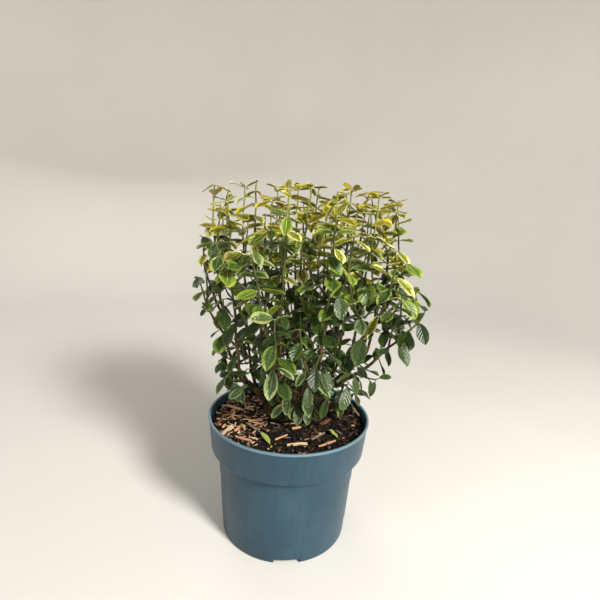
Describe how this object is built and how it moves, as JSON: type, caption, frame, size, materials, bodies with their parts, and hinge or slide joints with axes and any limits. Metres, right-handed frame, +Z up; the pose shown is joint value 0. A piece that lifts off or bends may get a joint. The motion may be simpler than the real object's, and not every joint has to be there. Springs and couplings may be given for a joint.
{
  "type": "potted variegated wintercreeper shrub",
  "caption": "Small upright evergreen shrub with gold and cream edged green leaves on thin shoots, growing in a round tapered nursery pot filled with bark compost.",
  "frame": {"origin": "middle of the pot's flat underside, where it stands on the ground", "axes": "+Z up along the pot's axis, +X towards the plant's longer side, -Y towards its front"},
  "size_m": [0.2497, 0.1856, 0.368],
  "materials": {
    "pot": "blue-grey injection-moulded plastic, half matt, with faint upright streaks",
    "compost": "dark moist bark compost, rough",
    "bark": "thin brown and olive bark, finely furrowed",
    "foliage": "leathery evergreen leaves, soft sheen"
  },
  "bodies": {
    "root": {"pot": "pot", "compost": "compost", "left_stem": "bark", "main_stem": "bark", "right_stem": "bark", "far_left_bough": "bark", "left_front_bough": "bark", "left_back_bough": "bark", "left_centre_bough": "bark", "back_left_bough": "bark", "front_left_bough": "bark", "centre_bough": "bark", "back_right_bough": "bark", "front_right_bough": "bark", "right_centre_bough": "bark", "right_back_bough": "bark", "right_front_bough": "bark", "far_right_bough": "bark", "low_right_bough": "bark", "low_front_bough": "bark", "low_back_bough": "bark", "far_left_foliage": "foliage", "left_front_foliage": "foliage", "left_back_foliage": "foliage", "left_centre_foliage": "foliage", "back_left_foliage": "foliage", "front_left_foliage": "foliage", "centre_foliage": "foliage", "back_right_foliage": "foliage", "front_right_foliage": "foliage", "right_centre_foliage": "foliage", "right_back_foliage": "foliage", "right_front_foliage": "foliage", "far_right_foliage": "foliage", "low_right_foliage": "foliage", "low_front_foliage": "foliage", "low_back_foliage": "foliage"}
  },
  "joints": []
}
